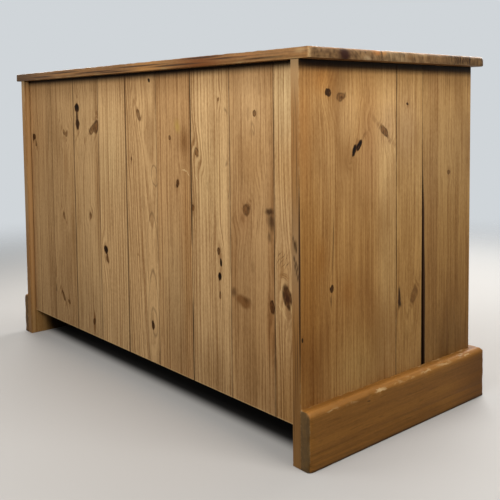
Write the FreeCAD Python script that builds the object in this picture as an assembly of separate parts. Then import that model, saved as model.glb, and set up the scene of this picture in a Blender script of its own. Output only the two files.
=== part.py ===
"""Old pine chest of drawers on a plinth, modelled board by board at its real size, in millimetres.

+Z is up, the drawer fronts face -Y, and left and right are those of someone who faces the fronts.
The origin is on the floor, under the middle of the overall box.
"""
import FreeCAD
import Part
import math
import os

from FreeCAD import Vector

# Case and its two ends, each glued up from three upright boards
CASE_WIDTH = 1116.0
CASE_DEPTH = 518.0
CASE_HEIGHT = 720.0
END_THICKNESS = 20.0
END_REAR_BOARD = 265.0
END_MIDDLE_BOARD = 83.0
# The left end's front glue joint has opened from the foot up, as a long thin wedge
OPEN_JOINT_FOOT = 10.0
OPEN_JOINT_HEIGHT = 560.0

# Top, nailed down over the case
TOP_THICKNESS = 20.0
TOP_SIDE_OVERHANG = 27.0
TOP_FRONT_OVERHANG = 12.0
TOP_BACK_OVERHANG = 2.0
TOP_REAR_BOARD = 190.0
TOP_MIDDLE_BOARD = 230.0
TOP_CORNER_RADIUS = 12.0
TOP_ARRIS_RADIUS = 4.0

# Tongued and grooved back boards, dropped into stopped grooves in the ends
BACK_RECESS = 16.0
BACK_THICKNESS = 12.0
BACK_FOOT = 66.0
BACK_FIRST_WIDTH = 128.0
BACK_BOARD_WIDTH = 126.7
BACK_NARROWEST_WIDTH = 30.0
BACK_GROOVE = 8.0
BACK_JOINT_GAP = 0.8
TONGUE_LENGTH = 6.0
TONGUE_THICKNESS = 4.0
TONGUE_PLAY = 0.3

# Plinth, mitred round the front and both ends
PLINTH_HEIGHT = 108.0
PLINTH_THICKNESS = 23.0
PLINTH_ROUND = 12.0
PLINTH_REVEAL = 6.0
GLUE_BLOCK = 32.0
GLUE_BLOCK_LENGTH = 90.0
GLUE_BLOCK_SPACING = 360.0
GLUE_BLOCK_LIFT = 6.0

# Frame of rails that the drawers run in
RAIL_THICKNESS = 20.0
RAIL_DEPTH = 60.0
TOP_RAIL = 22.0
BOTTOM_RAIL = 28.0
BACK_RAIL_DEPTH = 40.0
HOUSING = 8.0
DIVIDER_WIDTH = 22.0
TENON_THICKNESS = 8.0
TENON_LENGTH = 8.0
TENON_SHOULDER = 10.0
RUNNER_WIDTH = 26.0
CENTRE_RUNNER_WIDTH = 62.0
GUIDE_HEIGHT = 24.0
STOP_LENGTH = 40.0
STOP_THICKNESS = 6.0
STOP_HEIGHT = 5.0
STOP_INSET = 70.0

# Drawer openings from the top down: what is left below them goes to the deep drawer at the bottom
SHORT_OPENING = 160.0
MIDDLE_OPENING = 184.0

# Drawers
DRAWER_SETBACK = 1.0
DRAWER_SIDE_GAP = 1.5
DRAWER_TOP_GAP = 2.0
DRAWER_REAR_GAP = 20.0
FRONT_LIFT = 1.0
FRONT_THICKNESS = 20.0
FRONT_LAP = 6.0
SIDE_THICKNESS = 12.0
DRAWER_BACK_THICKNESS = 12.0
BACK_DROP = 8.0
BOTTOM_THICKNESS = 8.0
BOTTOM_EDGE = 5.0
BOTTOM_FLAT = 8.0
BOTTOM_FEATHER = 25.0
BOTTOM_RISE = 10.0
BOTTOM_GROOVE = 6.0
TAIL_PITCH = 44.0
PIN_WIDTH = 5.0
DOVETAIL_SLOPE = 1 / 7
JOINT_PLAY = 0.15

# Turned knobs
KNOB_FOOT_RADIUS = 13.0
KNOB_NECK_RADIUS = 10.5
KNOB_RADIUS = 22.5
KNOB_SHOULDER_RADIUS = 20.5
KNOB_FACE_RADIUS = 12.5
KNOB_NECK_LENGTH = 8.0
KNOB_FLARE_LENGTH = 12.0
KNOB_RIM_LENGTH = 7.0
KNOB_CROWN_LENGTH = 6.0
SPIGOT_RADIUS = 8.0
SPIGOT_PLAY = 0.1
SHORT_KNOB_INSET = 100.0
LONG_KNOB_INSET = 210.0

# Planes worked out from the sizes above
HALF = CASE_WIDTH / 2
INNER = HALF - END_THICKNESS
KNOB_LENGTH = KNOB_NECK_LENGTH + KNOB_FLARE_LENGTH + KNOB_RIM_LENGTH + KNOB_CROWN_LENGTH
FRONT_REACH = max(KNOB_LENGTH - DRAWER_SETBACK, PLINTH_THICKNESS, TOP_FRONT_OVERHANG)
REAR = (CASE_DEPTH + FRONT_REACH - TOP_BACK_OVERHANG) / 2
FRONT = REAR - CASE_DEPTH
BACK_FACE = REAR - BACK_RECESS
BACK_INSIDE = BACK_FACE - BACK_THICKNESS
RAIL_BACK = FRONT + RAIL_DEPTH
BACK_RAIL_FRONT = BACK_INSIDE - BACK_RAIL_DEPTH
SHORT_ROOF = CASE_HEIGHT - TOP_RAIL
SHORT_FLOOR = SHORT_ROOF - SHORT_OPENING
MIDDLE_ROOF = SHORT_FLOOR - RAIL_THICKNESS
MIDDLE_FLOOR = MIDDLE_ROOF - MIDDLE_OPENING
DEEP_ROOF = MIDDLE_FLOOR - RAIL_THICKNESS
DEEP_FLOOR = PLINTH_HEIGHT + PLINTH_REVEAL

# Heights of the rails, and the openings that the drawers fill: width, height and knob inset
FRONT_RAILS = {
    "front_top_rail": (SHORT_ROOF, CASE_HEIGHT),
    "upper_drawer_rail": (MIDDLE_ROOF, SHORT_FLOOR),
    "lower_drawer_rail": (DEEP_ROOF, MIDDLE_FLOOR),
    "front_bottom_rail": (DEEP_FLOOR - BOTTOM_RAIL, DEEP_FLOOR),
}
BACK_RAILS = {
    "back_top_rail": (SHORT_ROOF, CASE_HEIGHT),
    "back_middle_rail": (MIDDLE_ROOF, SHORT_FLOOR),
    "back_bottom_rail": (DEEP_FLOOR - BOTTOM_RAIL, DEEP_FLOOR),
}
OPENINGS = {
    "bottom_drawer": ((-INNER, INNER), (DEEP_FLOOR, DEEP_ROOF), LONG_KNOB_INSET),
    "middle_drawer": ((-INNER, INNER), (MIDDLE_FLOOR, MIDDLE_ROOF), LONG_KNOB_INSET),
    "top_left_drawer": ((-INNER, -DIVIDER_WIDTH / 2), (SHORT_FLOOR, SHORT_ROOF), SHORT_KNOB_INSET),
    "top_right_drawer": ((DIVIDER_WIDTH / 2, INNER), (SHORT_FLOOR, SHORT_ROOF), SHORT_KNOB_INSET),
}
ENDS = {"left": -1, "right": 1}


def block(x, y, z):
    """A square-edged board between two limits each way, given in either order."""
    low = Vector(min(x), min(y), min(z))
    return Part.makeBox(abs(x[1] - x[0]), abs(y[1] - y[0]), abs(z[1] - z[0]), low)


def prism(points, push):
    """A flat outline pushed straight along a vector."""
    outline = Part.makePolygon([*points, points[0]])
    return Part.Face(outline).extrude(push)


def rounded(solid, radius, *places):
    """The solid with the edges nearest to these places rounded over."""
    edges = [min(solid.Edges, key=lambda e: e.CenterOfMass.distanceToPoint(p)) for p in places]
    return solid.makeFillet(radius, edges)


def save(node, *solids):
    """Writes one sub-part: a single solid, or a group of like pieces."""
    pieces = [piece for solid in solids for piece in solid.Solids]
    shape = pieces[0] if len(pieces) == 1 else Part.makeCompound(pieces)
    shape.exportStep(f"parts/{node}.step")


def front_rail(heights):
    """A rail across the front, with both its ends let into the case's ends."""
    return block((-INNER - HOUSING, INNER + HOUSING), (FRONT, RAIL_BACK), heights)


def back_rail(heights):
    """A rail across the back, against the back boards."""
    return block((-INNER - HOUSING, INNER + HOUSING), (BACK_RAIL_FRONT, BACK_INSIDE), heights)


def back_groove():
    """The room for the back boards, let into both ends and stopped at their feet."""
    play = TONGUE_PLAY
    return block(
        (-INNER - BACK_GROOVE, INNER + BACK_GROOVE),
        (BACK_INSIDE, BACK_FACE + play),
        (BACK_FOOT, CASE_HEIGHT),
    )


def end_board(side, outline):
    """One upright board of an end, cut for the rails and the back."""
    points = [Vector(side * INNER, y, z) for y, z in outline]
    board = prism(points, Vector(side * END_THICKNESS, 0, 0))
    cuts = [front_rail(heights) for heights in FRONT_RAILS.values()]
    cuts += [back_rail(heights) for heights in BACK_RAILS.values()]
    return board.cut([*cuts, back_groove()])


def build_ends():
    """Both ends run down to the floor. Only the left one has a joint that has opened."""
    rear_joint = REAR - END_REAR_BOARD
    front_joint = rear_joint - END_MIDDLE_BOARD
    for name, side in ENDS.items():
        foot_gap = OPEN_JOINT_FOOT if name == "left" else 0.0
        rear = [(REAR, 0), (REAR, CASE_HEIGHT), (rear_joint, CASE_HEIGHT), (rear_joint, 0)]
        middle = [
            (rear_joint, 0),
            (rear_joint, CASE_HEIGHT),
            (front_joint, CASE_HEIGHT),
            (front_joint, 0),
        ]
        front = [
            (front_joint - foot_gap, 0),
            (front_joint, OPEN_JOINT_HEIGHT),
            (front_joint, CASE_HEIGHT),
            (FRONT, CASE_HEIGHT),
            (FRONT, 0),
        ]
        save(f"{name}_end_rear_board", end_board(side, rear))
        save(f"{name}_end_middle_board", end_board(side, middle))
        save(f"{name}_end_front_board", end_board(side, front))


def build_top():
    """Three boards side by side, with the ends and the front edge eased and the front corners rounded."""
    reach = HALF + TOP_SIDE_OVERHANG
    height = (CASE_HEIGHT, CASE_HEIGHT + TOP_THICKNESS)
    rear = REAR + TOP_BACK_OVERHANG
    rear_joint = rear - TOP_REAR_BOARD
    front_joint = rear_joint - TOP_MIDDLE_BOARD
    front = FRONT - TOP_FRONT_OVERHANG

    def eased_ends(board, middle):
        """Both end arrises of a board taken off."""
        places = [Vector(x, middle, height[1]) for x in (-reach, reach)]
        return rounded(board, TOP_ARRIS_RADIUS, *places)

    rear_board = block((-reach, reach), (rear_joint, rear), height)
    save("top_rear_board", eased_ends(rear_board, (rear_joint + rear) / 2))
    middle_board = block((-reach, reach), (front_joint, rear_joint), height)
    save("top_middle_board", eased_ends(middle_board, (front_joint + rear_joint) / 2))

    front_board = block((-reach, reach), (front, front_joint), height)
    corners = [Vector(x, front, height[0]) for x in (-reach, reach)]
    front_board = rounded(front_board, TOP_CORNER_RADIUS, *corners)
    middle = (front + front_joint) / 2
    arrises = [Vector(x, y, height[1]) for x in (-reach, reach) for y in (front, middle)]
    arrises.append(Vector(0, front, height[1]))
    save("top_front_board", rounded(front_board, TOP_ARRIS_RADIUS, *arrises))


def back_joints():
    """Where the back boards meet, from the right end to the left: full boards, then one ripped to fit."""
    first = INNER - BACK_FIRST_WIDTH
    full = math.floor((first + INNER - BACK_NARROWEST_WIDTH) / BACK_BOARD_WIDTH)
    return [first - i * BACK_BOARD_WIDTH for i in range(full + 1)]


def build_back():
    """Upright boards, each with a tongue on its left edge and a groove for its neighbour's in its right."""
    gap = BACK_JOINT_GAP / 2
    middle = (BACK_FACE + BACK_INSIDE) / 2
    tongue = TONGUE_THICKNESS / 2
    slot = tongue + TONGUE_PLAY / 2
    rise = Vector(0, 0, CASE_HEIGHT - BACK_FOOT)
    joints = back_joints()
    right_edges = [INNER + BACK_GROOVE - TONGUE_PLAY, *(x - gap for x in joints)]
    left_edges = [*(x + gap for x in joints), -INNER - BACK_GROOVE + TONGUE_PLAY]
    for number, (right, left) in enumerate(zip(right_edges, left_edges), 1):
        outline = [(right, BACK_FACE), (left, BACK_FACE)]
        if number <= len(joints):
            tip = left - TONGUE_LENGTH
            outline += [(left, middle + tongue), (tip, middle + tongue)]
            outline += [(tip, middle - tongue), (left, middle - tongue)]
        outline += [(left, BACK_INSIDE), (right, BACK_INSIDE)]
        if number > 1:
            root = right - TONGUE_LENGTH + BACK_JOINT_GAP - TONGUE_PLAY
            outline += [(right, middle - slot), (root, middle - slot)]
            outline += [(root, middle + slot), (right, middle + slot)]
        save(f"back_board_{number}", prism([Vector(x, y, BACK_FOOT) for x, y in outline], rise))


def build_plinth():
    """A skirting with a rounded upper edge, mitred at the front corners, and its hidden glue blocks."""
    height = (0, PLINTH_HEIGHT)
    outside = HALF + PLINTH_THICKNESS
    nose = FRONT - PLINTH_THICKNESS
    rise = Vector(0, 0, PLINTH_HEIGHT)

    def mitre(side, far):
        """The waste beyond the mitre at one front corner, on the side of a far point."""
        return prism([Vector(side * HALF, FRONT, 0), Vector(side * outside, nose, 0), far], rise)

    front = block((-outside, outside), (nose, FRONT), height)
    front = rounded(front, PLINTH_ROUND, Vector(0, nose, PLINTH_HEIGHT))
    waste = [mitre(side, Vector(side * outside, FRONT, 0)) for side in ENDS.values()]
    save("plinth_front", front.cut(waste))
    for name, side in ENDS.items():
        board = block((side * HALF, side * outside), (nose, REAR), height)
        board = rounded(board, PLINTH_ROUND, Vector(side * outside, (nose + REAR) / 2, PLINTH_HEIGHT))
        save(f"plinth_{name}", board.cut(mitre(side, Vector(side * HALF, nose, 0))))
    save("plinth_glue_blocks", *glue_blocks())


def glue_blocks():
    """Triangular blocks: one up each inside corner, and two along the bottom rail."""
    roof = DEEP_FLOOR - BOTTOM_RAIL
    blocks = []
    for side in ENDS.values():
        corner = Vector(side * INNER, FRONT, GLUE_BLOCK_LIFT)
        legs = [corner, corner + Vector(-side * GLUE_BLOCK, 0, 0), corner + Vector(0, GLUE_BLOCK, 0)]
        blocks.append(prism(legs, Vector(0, 0, roof - GLUE_BLOCK_LIFT)))
        start = Vector(side * GLUE_BLOCK_SPACING / 2 - GLUE_BLOCK_LENGTH / 2, FRONT, roof)
        legs = [start, start + Vector(0, GLUE_BLOCK, 0), start - Vector(0, 0, GLUE_BLOCK)]
        blocks.append(prism(legs, Vector(GLUE_BLOCK_LENGTH, 0, 0)))
    return blocks


def divider_tenons():
    """The two stub tenons of the upright between the short drawers."""
    width = (-TENON_THICKNESS / 2, TENON_THICKNESS / 2)
    depth = (FRONT + TENON_SHOULDER, RAIL_BACK - TENON_SHOULDER)
    lower = block(width, depth, (SHORT_FLOOR - TENON_LENGTH, SHORT_FLOOR))
    upper = block(width, depth, (SHORT_ROOF, SHORT_ROOF + TENON_LENGTH))
    return [lower, upper]


def centre_runner_tenons():
    """The stub tenons that hang the centre runner between its front and back rails."""
    width = (-CENTRE_RUNNER_WIDTH / 2, CENTRE_RUNNER_WIDTH / 2)
    middle = (MIDDLE_ROOF + SHORT_FLOOR) / 2
    height = (middle - TENON_THICKNESS / 2, middle + TENON_THICKNESS / 2)
    front = block(width, (RAIL_BACK - TENON_LENGTH, RAIL_BACK), height)
    back = block(width, (BACK_RAIL_FRONT, BACK_RAIL_FRONT + TENON_LENGTH), height)
    return [front, back]


def build_frame():
    """The rails across the front and back, and the upright between the short drawers."""
    mortises = divider_tenons() + centre_runner_tenons()
    for node, heights in FRONT_RAILS.items():
        save(node, front_rail(heights).cut(mortises))
    for node, heights in BACK_RAILS.items():
        save(node, back_rail(heights).cut(mortises))
    width = (-DIVIDER_WIDTH / 2, DIVIDER_WIDTH / 2)
    divider = block(width, (FRONT, RAIL_BACK), (SHORT_FLOOR, SHORT_ROOF))
    save("short_drawer_divider", divider.fuse(divider_tenons()).removeSplitter())


def side_strips(depth, height):
    """A pair of strips along the inside of the two ends."""
    return [block((side * (INNER - RUNNER_WIDTH), side * INNER), depth, height) for side in ENDS.values()]


def build_runners():
    """The strips that carry the drawers, steer the short ones and keep them from tipping."""
    between_rails = (RAIL_BACK, BACK_RAIL_FRONT)
    centre = (-CENTRE_RUNNER_WIDTH / 2, CENTRE_RUNNER_WIDTH / 2)
    save("upper_side_runners", *side_strips(between_rails, FRONT_RAILS["upper_drawer_rail"]))
    save(
        "lower_side_runners",
        *side_strips((RAIL_BACK, BACK_INSIDE), FRONT_RAILS["lower_drawer_rail"]),
        *side_strips(between_rails, FRONT_RAILS["front_bottom_rail"]),
    )
    runner = block(centre, between_rails, FRONT_RAILS["upper_drawer_rail"])
    save("centre_runner", runner.fuse(centre_runner_tenons()).removeSplitter())
    guide = (-DIVIDER_WIDTH / 2, DIVIDER_WIDTH / 2)
    save("centre_guide", block(guide, between_rails, (SHORT_FLOOR, SHORT_FLOOR + GUIDE_HEIGHT)))
    kickers = side_strips(between_rails, FRONT_RAILS["front_top_rail"])
    save("top_kickers", *kickers, block(centre, between_rails, FRONT_RAILS["front_top_rail"]))


def build_stops():
    """Small blocks on the rails that each drawer front comes up against."""
    stop_front = FRONT + DRAWER_SETBACK + FRONT_THICKNESS
    stops = []
    for width, (floor, _), _ in OPENINGS.values():
        for start in (width[0] + STOP_INSET, width[1] - STOP_INSET - STOP_LENGTH):
            depth = (stop_front, stop_front + STOP_THICKNESS)
            stops.append(block((start, start + STOP_LENGTH), depth, (floor, floor + STOP_HEIGHT)))
    save("drawer_stops", *stops)


def tail_centres(low, high):
    """Even heights for a row of tails, and half the width of a tail at its tip."""
    count = max(2, round((high - low) / TAIL_PITCH))
    pitch = (high - low) / count
    return [low + (i + 0.5) * pitch for i in range(count)], (pitch - PIN_WIDTH) / 2


def tail_outline(x, root, tip, centre, half_tip, play=0.0):
    """A tail from its root to its wider tip, or with some play the socket that takes it."""
    half_root = half_tip - abs(tip - root) * DOVETAIL_SLOPE
    end = tip + math.copysign(play, tip - root)
    return [
        Vector(x, root, centre - half_root - play),
        Vector(x, end, centre - half_tip - play),
        Vector(x, end, centre + half_tip + play),
        Vector(x, root, centre + half_root + play),
    ]


class Drawer:
    """One drawer: lapped dovetails at its front, through dovetails at its back, a grooved-in bottom."""

    def __init__(self, width, height, knob_inset):
        self.left = width[0] + DRAWER_SIDE_GAP
        self.right = width[1] - DRAWER_SIDE_GAP
        self.floor, roof = height
        self.top = roof - DRAWER_TOP_GAP
        self.face = FRONT + DRAWER_SETBACK
        self.inside = self.face + FRONT_THICKNESS
        self.rear = BACK_INSIDE - DRAWER_REAR_GAP
        self.back_front = self.rear - DRAWER_BACK_THICKNESS
        self.bottom = self.floor + BOTTOM_RISE
        self.back_low = self.bottom + BOTTOM_EDGE
        self.back_high = self.top - BACK_DROP
        self.front_low = self.floor + FRONT_LIFT
        self.knob_inset = knob_inset

    def front_tails(self, x, play=0.0):
        """Outlines of the tails that enter the front."""
        centres, half = tail_centres(self.front_low, self.top)
        tip = self.face + FRONT_LAP
        return [tail_outline(x, self.inside, tip, centre, half, play) for centre in centres]

    def back_tails(self, x, play=0.0):
        """Outlines of the tails that pass through the back."""
        centres, half = tail_centres(self.back_low, self.back_high)
        return [tail_outline(x, self.back_front, self.rear, centre, half, play) for centre in centres]

    def sockets(self, outlines_at):
        """The room for the tails of both sides."""
        push = Vector(SIDE_THICKNESS, 0, 0)
        starts = (self.left, self.right - SIDE_THICKNESS)
        return [prism(points, push) for x in starts for points in outlines_at(x, JOINT_PLAY)]

    def bottom_groove(self):
        """The groove round both sides and the front that holds the bottom."""
        reach = SIDE_THICKNESS - BOTTOM_GROOVE
        return block(
            (self.left + reach, self.right - reach),
            (self.inside - BOTTOM_GROOVE, self.rear),
            (self.bottom, self.back_low + JOINT_PLAY),
        )

    def knob_places(self):
        """The middles of the knobs on the face of the front."""
        height = (self.front_low + self.top) / 2
        places = (self.left + self.knob_inset, self.right - self.knob_inset)
        return [Vector(x, self.face, height) for x in places]

    def front(self):
        """The front board, with sockets, groove and the holes of the knobs."""
        board = block((self.left, self.right), (self.face, self.inside), (self.front_low, self.top))
        into = Vector(0, 1, 0)
        radius = SPIGOT_RADIUS + SPIGOT_PLAY
        holes = [Part.makeCylinder(radius, FRONT_THICKNESS, p, into) for p in self.knob_places()]
        return board.cut([*self.sockets(self.front_tails), self.bottom_groove(), *holes])

    def side(self, outer_face, inward):
        """A side with its two rows of tails cut in one outline."""
        x = outer_face
        outline = [Vector(x, self.inside, self.floor)]
        for tail in self.front_tails(x):
            outline += tail
        outline += [Vector(x, self.inside, self.top), Vector(x, self.rear, self.top)]
        outline += [Vector(x, self.rear, self.back_high), Vector(x, self.back_front, self.back_high)]
        for tail in reversed(self.back_tails(x)):
            outline += reversed(tail)
        outline += [Vector(x, self.back_front, self.back_low), Vector(x, self.rear, self.back_low)]
        outline.append(Vector(x, self.rear, self.floor))
        board = prism(outline, Vector(inward * SIDE_THICKNESS, 0, 0))
        inner_face = outer_face + inward * SIDE_THICKNESS
        groove = block(
            (inner_face - inward * BOTTOM_GROOVE, inner_face),
            (self.face + FRONT_LAP, self.rear),
            (self.bottom, self.back_low + JOINT_PLAY),
        )
        return board.cut(groove)

    def back(self):
        """The back, which stands on the bottom and stops short of the sides' upper edges."""
        height = (self.back_low + JOINT_PLAY, self.back_high - JOINT_PLAY)
        board = block((self.left, self.right), (self.back_front, self.rear), height)
        return board.cut(self.sockets(self.back_tails))

    def bottom_board(self):
        """The bottom, slid in under the back, with its underside feathered down to fit the grooves."""
        reach = SIDE_THICKNESS - BOTTOM_GROOVE + JOINT_PLAY
        front = self.inside - BOTTOM_GROOVE + JOINT_PLAY

        def outline(inset, height):
            """The board's outline, drawn in on the three edges that sit in grooves."""
            left, right = self.left + reach + inset, self.right - reach - inset
            corners = [(left, front + inset), (right, front + inset), (right, self.rear), (left, self.rear)]
            points = [Vector(x, y, height) for x, y in corners]
            return Part.makePolygon([*points, points[0]])

        edge = Part.Face(outline(0, self.bottom)).extrude(Vector(0, 0, BOTTOM_EDGE))
        underside = self.back_low - BOTTOM_THICKNESS
        feather = [outline(BOTTOM_FLAT, self.bottom), outline(BOTTOM_FLAT + BOTTOM_FEATHER, underside)]
        return edge.fuse(Part.makeLoft(feather, True, True)).removeSplitter()

    def save(self, name):
        """Writes the drawer's six sub-parts."""
        save(f"{name}_front", self.front())
        save(f"{name}_left_side", self.side(self.left, 1))
        save(f"{name}_right_side", self.side(self.right, -1))
        save(f"{name}_back", self.back())
        save(f"{name}_bottom", self.bottom_board())
        save(f"{name}_knobs", *(knob(place) for place in self.knob_places()))


def knob(place):
    """A turned knob: a waisted foot, a flared head with a chamfered face, and a spigot glued through."""
    neck = KNOB_NECK_LENGTH
    rim = neck + KNOB_FLARE_LENGTH
    shoulder = rim + KNOB_RIM_LENGTH
    profile = [
        (0, -FRONT_THICKNESS),
        (SPIGOT_RADIUS, -FRONT_THICKNESS),
        (SPIGOT_RADIUS, 0),
        (KNOB_FOOT_RADIUS, 0),
        (KNOB_NECK_RADIUS, neck),
        (KNOB_RADIUS, rim),
        (KNOB_SHOULDER_RADIUS, shoulder),
        (KNOB_FACE_RADIUS, KNOB_LENGTH),
        (0, KNOB_LENGTH),
    ]
    points = [place + Vector(radius, -out, 0) for radius, out in profile]
    outline = Part.makePolygon([*points, points[0]])
    return Part.Face(outline).revolve(place, Vector(0, 1, 0), 360)


os.makedirs("parts", exist_ok=True)
build_ends()
build_top()
build_back()
build_plinth()
build_frame()
build_runners()
build_stops()
for name, opening in OPENINGS.items():
    Drawer(*opening).save(name)
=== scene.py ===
import math

import bmesh
import bpy
from mathutils import Matrix, Vector, noise


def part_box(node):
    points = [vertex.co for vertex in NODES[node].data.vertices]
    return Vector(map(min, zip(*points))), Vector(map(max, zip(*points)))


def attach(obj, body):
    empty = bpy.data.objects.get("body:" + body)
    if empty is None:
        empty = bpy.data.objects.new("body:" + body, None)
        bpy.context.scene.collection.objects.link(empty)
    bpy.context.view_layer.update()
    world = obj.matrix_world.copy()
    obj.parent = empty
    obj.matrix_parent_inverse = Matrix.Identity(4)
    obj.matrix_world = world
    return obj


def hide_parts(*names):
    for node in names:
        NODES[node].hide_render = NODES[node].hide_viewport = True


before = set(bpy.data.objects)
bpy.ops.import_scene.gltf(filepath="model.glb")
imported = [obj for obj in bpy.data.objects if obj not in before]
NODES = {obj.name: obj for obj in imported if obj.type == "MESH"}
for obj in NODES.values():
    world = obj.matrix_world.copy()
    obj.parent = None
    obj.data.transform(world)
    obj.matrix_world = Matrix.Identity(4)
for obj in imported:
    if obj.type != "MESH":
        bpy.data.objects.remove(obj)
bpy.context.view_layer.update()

# End panels. Each end of the case is three upright pine boards, planed and glued edge to edge,
# then waxed. The photographed end has gone orange with age, and its front joint has opened at the foot.
# The class does the sums of a finish, and pine() is the timber that every board here is cut from.


class Field:
    """A value that changes over a surface: one socket of a finish's nodes, with the sums done on it."""

    def __init__(self, socket):
        self.socket = socket

    def node(self, kind, settings, sockets, output=0):
        """Adds a node of that kind: its settings first, then the values or links of its sockets."""
        tree = self.socket.id_data
        made = tree.nodes.new("ShaderNode" + kind)
        for setting, value in settings.items():
            setattr(made, setting, value)
        for socket, value in sockets.items():
            if isinstance(value, Field):
                tree.links.new(value.socket, made.inputs[socket])
            else:
                made.inputs[socket].default_value = value
        return Field(made.outputs[output])

    def maths(self, operation, *others):
        return self.node("Math", {"operation": operation}, dict(enumerate((self, *others))))

    def __add__(self, other):
        return self.maths("ADD", other)

    __radd__ = __add__

    def __sub__(self, other):
        return self.maths("SUBTRACT", other)

    def __rsub__(self, other):
        return self.node("Math", {"operation": "SUBTRACT"}, {0: other, 1: self})

    def __mul__(self, other):
        return self.maths("MULTIPLY", other)

    __rmul__ = __mul__

    def __truediv__(self, other):
        return self.maths("DIVIDE", other)

    def most(self, other):
        return self.maths("MAXIMUM", other)

    def least(self, other):
        return self.maths("MINIMUM", other)

    def ramp(self, start, end):
        """0 at start and 1 at end, eased between them; start may be the larger."""
        sockets = {"Value": self, "From Min": start, "From Max": end}
        return self.node("MapRange", {"interpolation_type": "SMOOTHSTEP"}, sockets)

    def blend(self, under, over):
        """The colour under where this is 0, and over where it is 1."""
        return self.node("Mix", {"data_type": "RGBA"}, {0: self, 6: under, 7: over}, 2)

    def parts(self):
        """The three numbers of a place."""
        split = self.node("SeparateXYZ", {}, {0: self}).socket.node
        return [Field(socket) for socket in split.outputs]

    def cloud(self, stretch, seed, detail=1.0, output=0):
        """Soft noise over a place, finer where stretch is larger."""
        shift = (seed, 1.7 * seed, 0.6 * seed)
        moved = self.node("Mapping", {}, {"Vector": self, "Location": shift, "Scale": stretch})
        return self.node("TexNoise", {}, {"Vector": moved, "Scale": 1.0, "Detail": detail}, output)

    def spot(self, middle, half, lean):
        """A place measured from the middle of a mark, in half widths, lengths and depths of it.

        A mark that is given no depth goes right through the board.
        """
        sockets = {
            "Vector": self,
            "Location": (*middle, 0.0)[:3],
            "Rotation": (0.0, 0.0, math.radians(lean)),
            "Scale": (*half, 1000.0)[:3],
        }
        return self.node("Mapping", {"vector_type": "TEXTURE"}, sockets)

    def reach(self):
        """How far a place is from its origin."""
        return self.node("VectorMath", {"operation": "LENGTH"}, {0: self}, "Value")


def shade(red, green, blue):
    """A paint chip's colour, 0 to 255, as light."""
    chip = [channel / 255 for channel in (red, green, blue)]
    light = [c / 12.92 if c <= 0.04045 else ((c + 0.055) / 1.055) ** 2.4 for c in chip]
    return (*light, 1.0)


def toned(colour, level, warm=1.0):
    """A colour a little lighter or darker, and redder or greyer, as boards from one tree differ."""
    return (colour[0] * level * warm, colour[1] * level, colour[2] * level / warm, 1.0)


KNOT_BROWN = shade(106, 65, 28)
KNOT_DEEP = shade(61, 33, 11)
KNOT_RIM = shade(44, 24, 7)
# Black of knots and black spots, also used for painted shade at the foot of the far end's inner face.
KNOT_AND_SHADE_BLACK = shade(18, 10, 4)
KNOT_HALO = shade(113, 74, 37)
JOINT_DIRT = shade(50, 29, 12)
BARE_WOOD = shade(206, 172, 122)
RESIN = shade(178, 146, 72)
SPLIT = shade(50, 29, 14)
# The dark of the end's opened front joint: painted shade in the gap.
OPEN_JOINT_SHADE = shade(30, 17, 9)


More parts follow.
